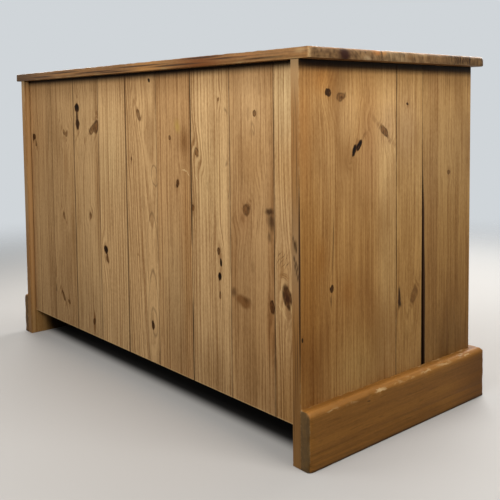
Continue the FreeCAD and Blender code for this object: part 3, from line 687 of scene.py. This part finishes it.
# Back. Nine thin pine boards, tongued and grooved together, stand in grooves in the ends and are nailed
# to the rails. They were planed but never polished, so they are pale, dry and full of knots.
BACK_PALE = shade(192, 154, 106)
BACK_DARK = shade(136, 99, 60)
BACK_ARRIS = 0.0006
SEAM_PLAY = 0.002
BACK_FOOT = ((0.0, 0.066), (2.0, 0.0032), 0, BARE_WOOD, 0.40, 0.7)
# The back boards are a little darker towards the foot.
BACK_FOOT_DARKER = ((0.0, 0.06), (2.0, 0.2), (0.94, 0.95, 0.97))
BACK_SEAMS = {
    0.41: (0.30, 0.0024), 0.2833: (0.75, 0.0034), 0.1566: (0.45, 0.0034), 0.0299: (0.80, 0.0034),
    -0.0968: (0.30, 0.003), -0.2235: (0.85, 0.0034), -0.3502: (0.40, 0.003), -0.4769: (0.60, 0.0028),
}
BACK_BOARDS = {
    "back_board_1": {
        "tone": 0.90, "pith": (0.30, 0.10), "lines": 0.65, "knots": [
            ((0.5178, 0.5649), (0.0095, 0.009), 0, 0.8),
            ((0.5068, 0.5475), (0.0055, 0.01), -20, 0.4),
        ],
        "marks": [((0.429, 0.572), (0.004, 0.074), 0, SPLIT, 0.40, 1.0)],
        # Painted shade: the upper part of the board beside the far end is darker.
        "tints": [((0.51, 0.6), (0.11, 0.28), (0.86, 0.80, 0.74))],
    },
    "back_board_2": {
        "tone": 0.90, "pith": (0.25, -0.12), "knots": [
            ((0.337, 0.578), (0.007, 0.011), -34, 0.05),
            ((0.323, 0.576), (0.007, 0.011), 34, 0.05),
            ((0.3474, 0.3587), (0.0055, 0.01), -30, 0.0),
            ((0.3638, 0.1392), (0.0065, 0.015), -34, 0.25),
            ((0.3323, 0.129), (0.006, 0.0055), 0, 0.3),
        ],
        "marks": [((0.405, 0.1536), (0.006, 0.014), 0, SPLIT, 0.5, 0.8)],
        "tints": [
            ((0.33, 0.5), (0.018, 0.09), (0.80, 0.74, 0.68)),
            ((0.3, 0.35), (0.018, 0.38), (0.90, 0.86, 0.80)),
        ],
    },
    "back_board_3": {
        "tone": 0.98, "warm": 0.98, "pith": (0.25, 0.10), "knots": [
            ((0.2633, 0.642), (0.012, 0.011), 0, 1.0),
            ((0.262, 0.6011), (0.01, 0.013), -6, 0.9),
            ((0.186, 0.589), (0.01, 0.022), 52, 0.25),
            ((0.166, 0.596), (0.013, 0.018), 8, 0.40),
            ((0.206, 0.372), (0.0075, 0.0085), 30, 0.0),
            ((0.1978, 0.1011), (0.0065, 0.008), 0, 0.7),
        ],
        "marks": [
            ((0.264, 0.62), (0.0075, 0.026), 2, SPLIT, 0.9, 0.7),
            ((0.1985, 0.085), (0.004, 0.014), 0, KNOT_BROWN, 0.5, 0.9),
        ],
        "tints": [
            # Painted shade: darker beside the seam, where the board's edge rounds away.
            ((0.168, 0.43), (0.022, 0.24), (0.84, 0.78, 0.72)),
            ((0.27, 0.36), (0.02, 0.4), (0.90, 0.86, 0.80)),
        ],
    },
    "back_board_4": {
        "tone": 1.20, "warm": 0.97, "pith": (-0.30, 0.12), "ring": 0.0095, "lines": 0.65, "knots": [
            ((0.1328, 0.2945), (0.009, 0.01), 0, 0.95),
            ((0.1261, 0.2758), (0.0055, 0.011), -20, 0.4),
        ],
        "tints": [((0.0933, 0.52), (0.09, 0.17), (1.08, 1.14, 1.18))],
    },
    "back_board_5": {
        "tone": 1.14, "warm": 0.99, "pith": (-0.035, -0.05), "climb": -0.035, "lines": 0.6, "knots": [
            ((-0.0265, 0.623), (0.008, 0.015), -28, 0.20),
            ((0.008, 0.5226), (0.0044, 0.0055), 0, 0.5),
            ((-0.0704, 0.1505), (0.0055, 0.011), 0, 0.85),
        ],
        "marks": [
            ((-0.0727, 0.7008), (0.0055, 0.006), 0, KNOT_AND_SHADE_BLACK, 0.95, 0.4),
            ((-0.087, 0.491), (0.0145, 0.028), -14, SPLIT, 0.42, -0.16),
            ((-0.074, 0.22), (0.03, 0.194), 0, SPLIT, 0.38, -0.04),
            ((-0.074, 0.12), (0.024, 0.1664), 0, SPLIT, 0.44, -0.06),
            ((-0.0765, 0.16), (0.015, 0.037), -6, SPLIT, 0.36, -0.20),
            ((-0.0142, 0.3055), (0.0035, 0.005), 0, KNOT_BROWN, 0.60, 0.8),
        ],
    },
    "back_board_6": {
        "tone": 0.95, "warm": 1.05, "pith": (0.35, 0.10), "knots": [
            ((-0.1482, 0.5758), (0.0044, 0.006), 0, 0.35),
            ((-0.1762, 0.4783), (0.007, 0.01), 12, 0.75),
        ],
        "marks": [
            ((-0.1765, 0.602), (0.016, 0.022), -20, RESIN, 0.6, 1.0),
            ((-0.199, 0.508), (0.012, 0.0017), 8, BARE_WOOD, 0.9, 0.7),
            ((-0.214, 0.501), (0.0018, 0.009), -40, BARE_WOOD, 0.8, 0.7),
        ],
        "tints": [
            ((-0.2, 0.57), (0.028, 0.045), (0.62, 0.54, 0.46)),
            ((-0.205, 0.35), (0.03, 0.42), (0.88, 0.82, 0.74)),
            ((-0.16, 0.24), (0.09, 0.26), (0.89, 0.94, 0.98)),
        ],
    },
    "back_board_7": {
        "tone": 1.18, "warm": 0.97, "pith": (0.28, 0.12), "ring": 0.0095, "lines": 0.75, "knots": [
            ((-0.2445, 0.5482), (0.0075, 0.0105), -24, -0.7),
            ((-0.2291, 0.4312), (0.004, 0.007), 0, 0.4),
            ((-0.3174, 0.6559), (0.0035, 0.0035), 0, 0.3),
            ((-0.3123, 0.3549), (0.0064, 0.007), 0, 0.6),
            ((-0.3183, 0.3337), (0.004, 0.008), -8, 1.0),
            ((-0.3146, 0.302), (0.0044, 0.0095), 4, 1.0),
            ((-0.3146, 0.265), (0.0026, 0.009), 0, 0.5),
        ],
        "marks": [
            ((-0.242, 0.496), (0.0018, 0.012), -42, BARE_WOOD, 0.9, 0.7),
            ((-0.339, 0.632), (0.0045, 0.012), -38, SPLIT, 0.45, 1.0),
            ((-0.3405, 0.53), (0.0045, 0.012), 20, SPLIT, 0.45, 1.0),
            ((-0.3457, 0.4657), (0.0036, 0.012), 0, SPLIT, 0.50, 1.0),
        ],
        "tints": [
            ((-0.287, 0.66), (0.09, 0.14), (1.12, 1.15, 1.18)),
            ((-0.287, 0.09), (0.09, 0.12), (0.72, 0.67, 0.61)),
            ((-0.287, 0.5), (0.09, 0.14), (1.06, 1.10, 1.10)),
        ],
    },
    "back_board_8": {
        "tone": 0.96, "warm": 1.03, "pith": (0.25, 0.10), "lines": 0.4, "knots": [
            ((-0.424, 0.6289), (0.0048, 0.006), 0, 0.45),
            ((-0.3996, 0.4433), (0.011, 0.013), 30, 0.05),
            ((-0.469, 0.269), (0.008, 0.012), 0, 0.60),
        ],
        "marks": [
            ((-0.419, 0.6), (0.005, 0.018), -12, SPLIT, 0.30, -0.40),
            ((-0.405, 0.447), (0.006, 0.009), 30, SPLIT, 0.45, 0.9),
            ((-0.464, 0.447), (0.019, 0.009), -8, SPLIT, 0.85, 0.8),
            ((-0.469, 0.429), (0.016, 0.025), -10, SPLIT, 0.80, 0.9),
            ((-0.464, 0.4), (0.009, 0.019), 0, SPLIT, 0.65, 1.0),
            ((-0.358, 0.278), (0.015, 0.014), 0, KNOT_DEEP, 0.65, 0.9),
            ((-0.388, 0.266), (0.028, 0.016), 6, KNOT_BROWN, 0.75, 0.55),
            ((-0.396, 0.272), (0.018, 0.009), 10, KNOT_DEEP, 0.45, 1.0),
        ],
        "tints": [
            ((-0.47, 0.36), (0.018, 0.34), (0.78, 0.70, 0.62)),
            ((-0.362, 0.34), (0.022, 0.18), (0.80, 0.74, 0.68)),
            ((-0.39, 0.43), (0.04, 0.07), (0.88, 0.82, 0.78)),
            ((-0.465, 0.23), (0.02, 0.1), (0.80, 0.70, 0.60)),
            ((-0.41, 0.66), (0.08, 0.12), (1.08, 1.12, 1.18)),
            ((-0.4136, 0.53), (0.075, 0.1), (0.88, 0.84, 0.78)),
            ((-0.4136, 0.14), (0.1, 0.26), (0.77, 0.72, 0.65)),
        ],
    },
    "back_board_9": {
        "tone": 1.20, "warm": 0.97, "pith": (0.20, 0.08), "lines": 0.75, "wander": 0.014, "knots": [
            ((-0.5095, 0.2965), (0.012, 0.0228), -10, 0.60),
        ],
        "marks": [
            ((-0.5095, 0.2965), (0.0105, 0.0205), -10, shade(52, 27, 15), 0.85, 0.8),
            ((-0.523, 0.275), (0.006, 0.02), -24, shade(206, 170, 114), 0.60, 1.0),
            ((-0.502, 0.333), (0.02, 0.01), 0, shade(146, 98, 48), 0.50, 1.0),
            *(
                ((-0.502, z), (0.0135, 0.0013), lean, SPLIT, 0.45, 0.8)
                for z, lean in ((0.3365, -8), (0.3325, 0), (0.3285, 8))
            ),
            *(
                ((x, z), (0.0015, 0.013), 40, SPLIT, 0.48, 0.8)
                for x, z in (
                    (-0.486, 0.36), (-0.494, 0.358), (-0.502, 0.356), (-0.51, 0.353),
                    (-0.49, 0.372), (-0.499, 0.37), (-0.508, 0.368),
                )
            ),
            *(
                ((x, z), (0.0013, 0.014), -30, shade(216, 180, 124), 0.60, 0.8)
                for x, z in ((-0.4905, 0.272), (-0.4975, 0.2665), (-0.5045, 0.261))
            ),
        ],
        "tints": [
            ((-0.51, 0.665), (0.06, 0.14), (1.20, 1.34, 1.46)),
            ((-0.51, 0.52), (0.06, 0.09), (0.90, 0.86, 0.78)),
            ((-0.51, 0.07), (0.09, 0.29), (0.65, 0.55, 0.42)),
            ((-0.5, 0.35), (0.03, 0.05), (0.90, 0.84, 0.76)),
            # Painted shade: a dark strip in the recess beside the near end.
            ((-0.54, 0.4), (0.009, 2.0), (0.55, 0.50, 0.44)),
        ],
    },
}
for seed, (name, cut) in enumerate(BACK_BOARDS.items(), start=61):
    low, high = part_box(name)
    seams = [(x, *how) for x, how in BACK_SEAMS.items() if low.x - SEAM_PLAY < x < high.x + SEAM_PLAY]
    tone = (cut["tone"], cut.get("warm", 1.0))
    finish = pine(
        name, (low, high), "xzy", toned(BACK_PALE, *tone), toned(BACK_DARK, *tone), cut["pith"], seed,
        knots=cut["knots"], tints=[PAINTED_SHADE_UNDER_TOP, BACK_FOOT_DARKER, *cut.get("tints", ())],
        marks=[*cut.get("marks", ()), PAINTED_SHADOW_UNDER_TOP, BACK_FOOT], joints=seams, ring=cut.get("ring", 0.008),
        climb=cut.get("climb", 0.0), wander=cut.get("wander", 0.01), contrast=0.9,
        lines=cut.get("lines", 0.50), rough=0.8, sheen=0.06,
    )
    dress(NODES[name], finish)
    ease(NODES[name], BACK_ARRIS)

# Top. Three wide boards glued edge to edge, with the front corners and the upper arris rounded over.
# It is glued down on the ends and the rails, and its edges are dark with handling and old polish.
TOP_PALE = shade(164, 119, 72)
TOP_DARK = shade(110, 76, 44)
TOP_REAR = 0.276
TOP_LEFT = -0.585
TOP_ROUND = 0.006
TOP_CORNER = 0.012
TOP_UNDER = 0.0025
TOP_HEEL = 0.0022
TOP_PITCH = 0.01
TOP_RUB = 0.0014
REAR_SEAM = 0.086
FRONT_SEAM = -0.144
REAR_SMUDGE = (
    ((TOP_REAR, 0.00), (0.0045, 2.0), 0, shade(112, 80, 46), 0.30, 0.4),
    ((TOP_REAR, 0.56), (0.006, 0.24), 0, shade(66, 47, 29), 0.80, 1.0),
    ((TOP_REAR, -0.28), (0.006, 0.13), 0, shade(100, 50, 15), 0.75, 1.0),
    ((TOP_REAR, -0.09), (0.006, 0.10), 0, shade(178, 126, 68), 0.45, 1.0),
)
LINE_DARK = shade(52, 32, 17)
LINE_PLACES = (
    (-0.20, 0.727, 0.14), (-0.38, 0.732, 0.10), (-0.47, 0.726, 0.08), (-0.06, 0.732, 0.16),
    (0.14, 0.728, 0.14), (0.30, 0.733, 0.12), (0.42, 0.727, 0.10), (-0.29, 0.737, 0.09), (0.05, 0.724, 0.12),
)
REAR_LINES = [
    ((TOP_REAR, x, z), (0.007, length, 0.0026), 0, LINE_DARK, 0.85, 0.7) for x, z, length in LINE_PLACES
]
REAR_WORN = [
    ((TOP_REAR, x, 0.721), (0.007, 0.024, 0.0034), 0, shade(150, 124, 84), 0.7, 0.9)
    for x in (0.45, 0.33, 0.27, 0.22, 0.12, -0.16, -0.40, -0.55)
]
LEFT_SAWN = (
    ((-0.20, TOP_LEFT), (0.20, 0.04), (0.82, 0.82, 0.78)),
    ((0.05, TOP_LEFT), (0.12, 0.04), (1.18, 1.32, 1.46)),
)
TICK_DARK = shade(46, 26, 12)
SOFT_TICKS = (
    (0.262, 0.728, 0.006), (0.247, 0.733, 0.005), (0.224, 0.727, 0.007), (0.214, 0.734, 0.005),
    (0.158, 0.726, 0.007), (0.147, 0.731, 0.008), (0.131, 0.735, 0.005), (0.112, 0.727, 0.006),
    (0.066, 0.73, 0.008), (0.049, 0.725, 0.006), (0.02, 0.733, 0.006), (-0.012, 0.728, 0.008),
    (-0.036, 0.731, 0.007), (-0.079, 0.732, 0.007), (-0.116, 0.731, 0.008), (-0.131, 0.728, 0.009),
    (-0.226, 0.729, 0.008),
)
SAW_TICKS = (-0.147, -0.1558, -0.1645, -0.1725, -0.1808, -0.189, -0.1978)
LEFT_TICKS = [
    *(((y, TOP_LEFT, z), (0.0038, 0.014, rise), 0, TICK_DARK, 0.50, 0.8) for y, z, rise in SOFT_TICKS),
    *(((y, TOP_LEFT, 0.7315), (0.0034, 0.014, 0.012), 0, TICK_DARK, 0.97, 0.6) for y in SAW_TICKS),
]
TOP_BOARDS = {
    "top_rear_board": {
        "pith": (0.06, -0.10),
        "glued": [FRONT],
        "joints": [REAR_SEAM],
        "marks": [
            *REAR_SMUDGE, *REAR_LINES, *REAR_WORN,
            ((0.187, TOP_LEFT, 0.728), (0.026, 0.014, 0.019), 0, shade(38, 14, 7), 0.96, 0.75),
            ((0.1, TOP_LEFT, 0.736), (0.019, 0.008, 0.008), 0, shade(176, 112, 54), 0.55, 0.9),
            ((0.125, TOP_LEFT, 0.724), (0.015, 0.008, 0.006), 0, shade(164, 140, 106), 0.60, 0.9),
            ((0.235, TOP_LEFT, 0.733), (0.014, 0.008, 0.008), 0, shade(70, 48, 30), 0.40, 1.0),
            ((TOP_REAR, TOP_LEFT), (0.006, 0.006), 0, BARE_WOOD, 0.35, 0.9),
            ((TOP_REAR, -0.42, 0.7335), (0.007, 0.06, 0.005), 0, shade(160, 106, 60), 0.50, 1.0),
            ((TOP_REAR, -0.5, 0.7245), (0.007, 0.05, 0.004), 0, shade(132, 104, 66), 0.50, 1.0),
            ((TOP_REAR, -0.564, 0.734), (0.007, 0.022, 0.007), 0, shade(178, 146, 100), 0.50, 1.0),
        ],
    },
    "top_middle_board": {
        "pith": (-0.30, 0.06),
        "glued": [FRONT, REAR],
        "joints": [REAR_SEAM, FRONT_SEAM],
        "marks": [
            ((0.079, TOP_LEFT, 0.735), (0.011, 0.008, 0.008), 0, shade(180, 122, 64), 0.50, 0.9),
            ((0.0, TOP_LEFT, 0.727), (0.02, 0.008, 0.006), 0, shade(88, 64, 40), 0.55, 1.0),
            ((-0.04, TOP_LEFT, 0.736), (0.03, 0.008, 0.005), 0, shade(158, 130, 92), 0.50, 1.0),
            ((0.004, TOP_LEFT, 0.731), (0.016, 0.008, 0.01), 0, shade(104, 70, 36), 0.55, 1.0),
            ((-0.054, TOP_LEFT, 0.731), (0.0055, 0.01, 0.011), 0, shade(84, 58, 32), 0.65, 0.9),
            ((-0.103, TOP_LEFT, 0.731), (0.012, 0.01, 0.01), 0, shade(86, 60, 34), 0.60, 1.0),
            ((-0.132, TOP_LEFT, 0.7385), (0.008, 0.008, 0.004), 0, KNOT_AND_SHADE_BLACK, 0.80, 0.8),
        ],
    },
    "top_front_board": {"pith": (0.40, 0.04), "glued": [REAR], "joints": [FRONT_SEAM], "marks": []},
}
for seed, (name, cut) in enumerate(TOP_BOARDS.items(), start=81):
    low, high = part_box(name)
    board = sawn_board(low, high)
    if name == "top_front_board":
        round_over(board, TOP_CORNER, 5, FRONT, [UP, DOWN])
    kept = [*cut["glued"], REAR]
    round_over(board, TOP_ROUND, 4, UP, kept)
    round_over(board, TOP_UNDER, 2, DOWN, kept)
    if name == "top_rear_board":
        round_over(board, TOP_HEEL, 2, REAR, [])
    piece = rubbed(name, board, TOP_PITCH, TOP_RUB)
    ticks = [tick for tick in LEFT_TICKS if low.y < tick[0][0] < high.y]
    finish = pine(
        name, (low, high), "yxz", TOP_PALE, TOP_DARK, cut["pith"], seed, tints=LEFT_SAWN,
        marks=[*cut["marks"], *ticks], joints=[(y, 0.8, 0.002) for y in cut["joints"]], ring=0.006,
        climb=0.01, lines=0.6, stain=0.4, sawn=(0.9, 1.62, 0.40), rough=0.5, sheen=0.08, worn=0.15,
    )
    dress(piece, finish)

# Drawers. Solid pine fronts lap-dovetailed to thin sides, through-dovetailed backs, and bottoms slid into
# grooves. The fronts are waxed like the ends, and the boxes behind them are bare.
FRONT_ARRIS = 0.001
BOX_ARRIS = 0.0004
HANDLED = (0.80, 0.74, 0.66)
HAND_REACH = (0.075, 0.09)
DRAWER_BOX = {"left_side": "zyx", "right_side": "zyx", "back": "zxy", "bottom": "yxz"}
DRAWERS = {
    "bottom_drawer": (0.98, (0.03, 0.10), 0.02, [((0.165, -0.33), (0.01, 0.015), 16, 0.5)]),
    "middle_drawer": (1.04, (-0.06, 0.08), -0.014, [((0.455, 0.12), (0.008, 0.012), -14, 0.7)]),
    "top_left_drawer": (1.00, (0.18, 0.10), 0.0, [((0.59, -0.42), (0.006, 0.009), 0, 0.6)]),
    "top_right_drawer": (0.95, (-0.015, -0.09), 0.018, [((0.66, 0.3), (0.007, 0.01), 10, 0.4)]),
}


def knob_places(drawer):
    """The height of a drawer's two knobs, and where they stand across its front."""
    low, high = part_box(f"{drawer}_knobs")
    radius = (high.z - low.z) / 2
    return (low.z + high.z) / 2, (low.x + radius, high.x - radius)


for seed, (drawer, (tone, pith, climb, knots)) in enumerate(DRAWERS.items(), start=91):
    name = f"{drawer}_front"
    height, places = knob_places(drawer)
    hands = [((height, x), HAND_REACH, HANDLED) for x in places]
    finish = pine(
        name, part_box(name), "zxy", toned(END_PALE, tone), toned(END_DARK, tone), pith, seed, knots, hands,
        climb=climb, contrast=0.9, stain=0.4, sawn=(0.90, 0.95, 0.50), rough=0.48, sheen=0.2,
    )
    dress(NODES[name], finish)
    ease(NODES[name], FRONT_ARRIS)
    for part, grain in DRAWER_BOX.items():
        name = f"{drawer}_{part}"
        finish = pine(
            name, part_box(name), grain, BARE_PALE, BARE_DARK, (0.05, 0.15), seed + 10.0,
            sawn=(0.85, 0.80, 0.50), rough=0.75,
        )
        dress(NODES[name], finish)
        ease(NODES[name], BOX_ARRIS)

# Knobs. Each is turned from one piece of pine, with a waisted neck and a full head, and its spigot is
# glued through the drawer front. They are the darkest waxed wood, from hands.
KNOB_PROFILE = (
    (0.0, -0.02), (0.008, -0.02), (0.008, 0.0), (0.013, 0.0), (0.0131, 0.0014), (0.0125, 0.0028),
    (0.0112, 0.005), (0.0106, 0.0074), (0.0109, 0.0098), (0.0123, 0.0124), (0.015, 0.015),
    (0.0184, 0.0172), (0.021, 0.0192), (0.0223, 0.0214), (0.0225, 0.0234), (0.022, 0.0256),
    (0.0206, 0.0276), (0.0182, 0.0295), (0.0146, 0.0312), (0.01, 0.0323), (0.005, 0.0329), (0.0, 0.033),
)
KNOB_STEPS = 40
DRAWER_FACE = -0.243
KNOB_PALE = shade(170, 116, 62)
KNOB_DARK = shade(112, 70, 36)
for seed, drawer in enumerate(DRAWERS, start=121):
    height, places = knob_places(drawer)
    lathe = bmesh.new()
    for x in places:
        points = [lathe.verts.new((x + radius, DRAWER_FACE - out, height)) for radius, out in KNOB_PROFILE]
        outline = [lathe.edges.new(pair) for pair in zip(points, points[1:])]
        bmesh.ops.spin(
            lathe, geom=points + outline, cent=(x, 0.0, height), axis=REAR, angle=2 * math.pi,
            steps=KNOB_STEPS, use_merge=True,
        )
    bmesh.ops.remove_doubles(lathe, verts=lathe.verts, dist=DOUBLE)
    bmesh.ops.recalc_face_normals(lathe, faces=lathe.faces)
    for face in lathe.faces:
        face.smooth = True
    piece = piece_of(f"{drawer}_turned_knobs", lathe)
    finish = pine(
        piece.name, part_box(f"{drawer}_knobs"), "xyz", KNOB_PALE, KNOB_DARK, (0.06, 0.03), seed, ring=0.004,
        rough=0.4, sheen=0.45, worn=0.0,
    )
    dress(piece, finish)
    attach(piece, drawer)
    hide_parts(f"{drawer}_knobs")

# Floor. A plain, matt studio floor: a wide pale disc that the case stands on. It fades into the backdrop
# all round, and it has a painted shadow under the case, where hardly any light gets in.
FLOOR_RADIUS = 6.0
FLOOR_SIDES = 96
FLOOR_FADE = (1.0, 2.8)
FLOOR_PALE = (shade(188, 185, 181), shade(196, 194, 191))
FLOOR_BOUNCE = shade(112, 108, 103)
UNDER_CASE_PAINTED_SHADOW = shade(20, 17, 14)
UNDER_WIDTH = (0.56, 0.53)
UNDER_DEPTH = (0.24, 0.195)


def looked_at(tree):
    """1 where the camera looks, straight or by a shine, and 0 for light on its way round the room."""
    rays = tree.nodes.new("ShaderNodeLightPath")
    straight, shine, through = (
        Field(rays.outputs[f"Is {kind} Ray"]) for kind in ("Camera", "Glossy", "Transmission")
    )
    return straight.most(shine).most(through)


sheet = bmesh.new()
bmesh.ops.create_circle(sheet, cap_ends=True, segments=FLOOR_SIDES, radius=FLOOR_RADIUS)
floor = piece_of("floor", sheet)
material = bpy.data.materials.new("floor")
material.use_nodes = True
tree = material.node_tree
tree.nodes.clear()
place = Field(tree.nodes.new("ShaderNodeTexCoord").outputs["Object"])
seen = looked_at(tree)
pale = place.cloud((1.2, 1.2, 1.2), 5.0, 3.0).blend(*FLOOR_PALE)
aside, back, _ = place.parts()
# Painted shadow: the floor under the case is painted dark.
under = aside.maths("ABSOLUTE").ramp(*UNDER_WIDTH) * back.maths("ABSOLUTE").ramp(*UNDER_DEPTH)
tint = under.blend(seen.blend(FLOOR_BOUNCE, pale), UNDER_CASE_PAINTED_SHADOW)
paint = place.node("BsdfPrincipled", {}, {"Base Color": tint, "Roughness": 0.8})
clear = place.node("BsdfTransparent", {}, {})
mixed = place.node("MixShader", {}, {0: place.reach().ramp(*FLOOR_FADE), 1: paint, 2: clear})
finish = tree.nodes.new("ShaderNodeOutputMaterial")
tree.links.new(mixed.socket, finish.inputs["Surface"])
dress(floor, material)

# Light. Soft lamps stand close to the case: a strip and a fill over the back, a strip over each end, and a
# large box before the front. The room adds a little even light, and the backdrop is a plain pale grey.
BACKDROP = shade(208, 213, 217)
ROOM_WHITE = shade(236, 240, 246)
ROOM_STRENGTH = 0.17
LAMP_WHITE = (1.0, 0.985, 0.96)
world = bpy.data.worlds.new("room")
bpy.context.scene.world = world
world.use_nodes = True
tree = world.node_tree
tree.nodes.clear()
seen = looked_at(tree)
backdrop = seen.node("Background", {}, {"Color": BACKDROP, "Strength": 1.0})
ambient = seen.node("Background", {}, {"Color": ROOM_WHITE, "Strength": ROOM_STRENGTH})
sky = seen.node("MixShader", {}, {0: seen, 1: ambient, 2: backdrop})
finish = tree.nodes.new("ShaderNodeOutputWorld")
tree.links.new(sky.socket, finish.inputs["Surface"])
LAMPS = {
    "rear_strip": ((-0.72, 1.12, 1.12), (-0.30, 0.26, 0.55), (1.0, 0.35), 11.0),
    "rear_fill": ((0.40, 1.30, 1.15), (0.25, 0.26, 0.50), (0.9, 0.35), 7.5),
    "left_strip": ((-1.26, 0.05, 1.16), (-0.56, 0.00, 0.80), (0.6, 0.30), 8.8),
    "right_strip": ((1.26, 0.05, 1.16), (0.56, 0.00, 0.80), (0.6, 0.30), 8.8),
    "front_box": ((0.30, -1.90, 1.50), (0.00, -0.24, 0.40), (1.8, 0.9), 54.0),
}
for name, (stand, aim, size, power) in LAMPS.items():
    lamp = bpy.data.lights.new(name, "AREA")
    lamp.shape = "RECTANGLE"
    lamp.size, lamp.size_y = size
    lamp.energy = power
    lamp.color = LAMP_WHITE
    head = bpy.data.objects.new(name, lamp)
    head.location = stand
    head.rotation_euler = (Vector(aim) - Vector(stand)).to_track_quat("-Z", "Y").to_euler()
    head.visible_camera = False
    bpy.context.scene.collection.objects.link(head)

# Camera. It stands behind the left rear corner, at the height of the top drawers, and looks a little down.
# Its frame is shifted down further, which keeps the upright edges nearly upright in the picture.
CAMERA_PLACE = Vector((-1.4724, 1.1702, 0.6353))
CAMERA_AZIMUTH = math.radians(229.32)
CAMERA_TILT = math.radians(3.90)
CAMERA_ROLL = math.radians(-0.61)
CAMERA_SENSOR = 36.0
CAMERA_LENS = 53.885
CAMERA_SHIFT = -0.18
optics = bpy.data.cameras.new("camera")
optics.sensor_width = CAMERA_SENSOR
optics.lens = CAMERA_LENS
optics.shift_y = CAMERA_SHIFT
camera = bpy.data.objects.new("camera", optics)
bpy.context.scene.collection.objects.link(camera)
back = Vector((
    math.sin(CAMERA_AZIMUTH) * math.cos(CAMERA_TILT),
    -math.cos(CAMERA_AZIMUTH) * math.cos(CAMERA_TILT),
    math.sin(CAMERA_TILT),
))
level = UP.cross(back).normalized()
upright = back.cross(level)
right = math.cos(CAMERA_ROLL) * level + math.sin(CAMERA_ROLL) * upright
up = math.cos(CAMERA_ROLL) * upright - math.sin(CAMERA_ROLL) * level
camera.matrix_world = Matrix.Translation(CAMERA_PLACE) @ Matrix((right, up, back)).transposed().to_4x4()
bpy.context.scene.camera = camera
bpy.context.scene.view_settings.view_transform = "Standard"
